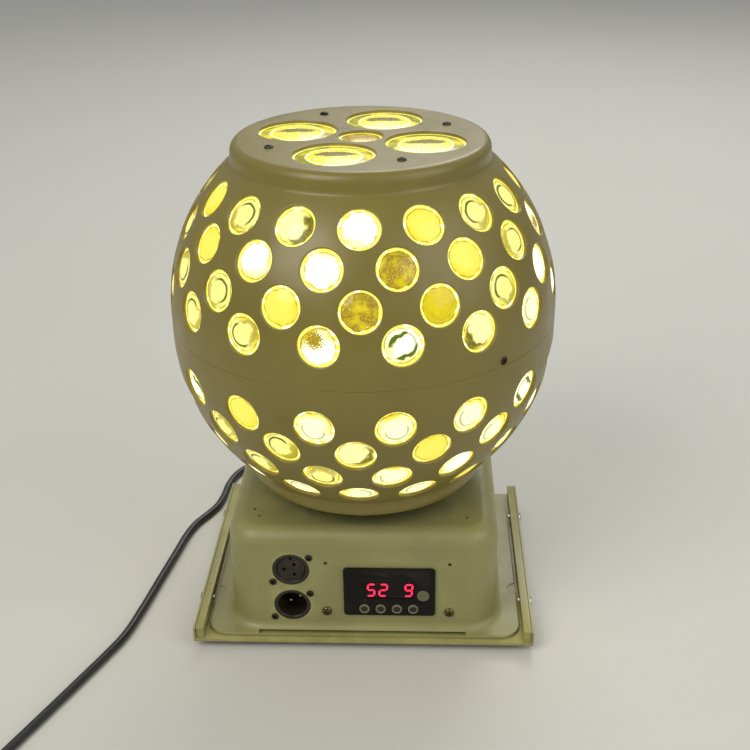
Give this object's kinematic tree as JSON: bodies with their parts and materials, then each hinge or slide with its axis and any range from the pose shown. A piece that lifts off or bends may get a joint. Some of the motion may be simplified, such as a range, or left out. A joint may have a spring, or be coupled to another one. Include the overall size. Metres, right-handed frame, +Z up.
{
  "type": "rotating effect light",
  "caption": "Rotating stage effect light: a lensed ball turns on a post over a moulded base with a display, buttons, signal sockets and a mains lead.",
  "frame": {"origin": "on the floor under the middle of the ball, at the bottom of the rubber feet", "axes": "+Z up along the ball's axis, -Y towards the side with the display and sockets, +X to the right seen from that side"},
  "size_m": [0.3539, 0.4459, 0.3249],
  "materials": {
    "cream_plastic": "moulded off-white plastic, satin",
    "cream_paint": "off-white powder coat on folded sheet steel",
    "lens_plastic": "clear moulded plastic, lit yellow from inside",
    "black_plastic": "black moulded plastic",
    "gloss_black": "glossy dark display window",
    "grey_plastic": "light grey plastic",
    "steel": "bright zinc-plated steel",
    "dark_steel": "blackened steel",
    "aluminium": "plain aluminium",
    "bronze": "plain bearing bronze",
    "rubber": "black rubber",
    "lead_rubber": "smooth black lead jacket",
    "circuit_green": "green circuit board",
    "white_nylon": "white moulded plastic"
  },
  "bodies": {
    "base": {"base_tray": "cream_paint", "side_rail_left": "cream_paint", "side_rail_right": "cream_paint", "rail_screw_left_front": "steel", "rail_screw_left_rear": "steel", "rail_screw_right_front": "steel", "rail_screw_right_rear": "steel", "rubber_foot_1": "rubber", "rubber_foot_2": "rubber", "rubber_foot_3": "rubber", "rubber_foot_4": "rubber", "base_housing": "cream_plastic", "female_socket_body": "black_plastic", "female_socket_insert": "black_plastic", "male_socket_body": "black_plastic", "male_socket_contacts": "steel", "socket_rivet_1": "dark_steel", "socket_rivet_2": "dark_steel", "socket_rivet_3": "dark_steel", "socket_rivet_4": "dark_steel", "display_panel": "gloss_black", "display_module": "gloss_black", "microphone": "grey_plastic", "control_board": "circuit_green", "panel_screw_left": "steel", "panel_screw_right": "steel", "power_supply": "aluminium", "strain_relief": "black_plastic", "fuse_holder": "black_plastic", "stepper_motor": "dark_steel", "centre_post": "steel", "heat_sink": "aluminium", "led_wrap": "white_nylon", "led_top_board": "white_nylon", "mains_lead": "lead_rubber", "mains_coil": "lead_rubber", "mains_plug": "black_plastic"},
    "ball": {"turntable_bush": "bronze", "turntable_plate": "aluminium", "ring_gear": "white_nylon", "ball_shell_upper": "cream_plastic", "ball_shell_lower": "cream_plastic", "lens_band_upper_outer": "lens_plastic", "lens_band_upper_inner": "lens_plastic", "lens_band_lower_outer": "lens_plastic", "lens_band_lower_inner": "lens_plastic", "top_lens_plate": "lens_plastic", "top_screw_1": "dark_steel", "top_screw_2": "dark_steel", "top_screw_3": "dark_steel", "top_screw_4": "dark_steel", "seam_ring": "black_plastic", "seam_screw_1": "dark_steel", "seam_screw_2": "dark_steel"},
    "pinion": {"motor_pinion": "steel"},
    "button_1": {"menu_button_1": "grey_plastic"},
    "button_2": {"menu_button_2": "grey_plastic"},
    "button_3": {"menu_button_3": "grey_plastic"},
    "button_4": {"menu_button_4": "grey_plastic"}
  },
  "joints": [
    {"name": "ball_spin", "type": "hinge", "parent": "base", "child": "ball", "pos_m": [0, 0, 0.211], "axis": [0, 0, 1], "continuous": true},
    {"name": "pinion_spin", "type": "hinge", "parent": "base", "child": "pinion", "pos_m": [-0.03535, 0.03535, 0.0927], "axis": [0, 0, 1], "continuous": true},
    {"name": "menu_press_1", "type": "slide", "parent": "base", "child": "button_1", "axis": [0, 1, 0], "range_m": [0, 0.0008], "stiffness_N_per_m": 400, "springref_m": -0.0006},
    {"name": "menu_press_2", "type": "slide", "parent": "base", "child": "button_2", "axis": [0, 1, 0], "range_m": [0, 0.0008], "stiffness_N_per_m": 400, "springref_m": -0.0006},
    {"name": "menu_press_3", "type": "slide", "parent": "base", "child": "button_3", "axis": [0, 1, 0], "range_m": [0, 0.0008], "stiffness_N_per_m": 400, "springref_m": -0.0006},
    {"name": "menu_press_4", "type": "slide", "parent": "base", "child": "button_4", "axis": [0, 1, 0], "range_m": [0, 0.0008], "stiffness_N_per_m": 400, "springref_m": -0.0006}
  ],
  "couplings": [
    {"joint": "pinion_spin", "follows": "ball_spin", "ratio": -4}
  ]
}
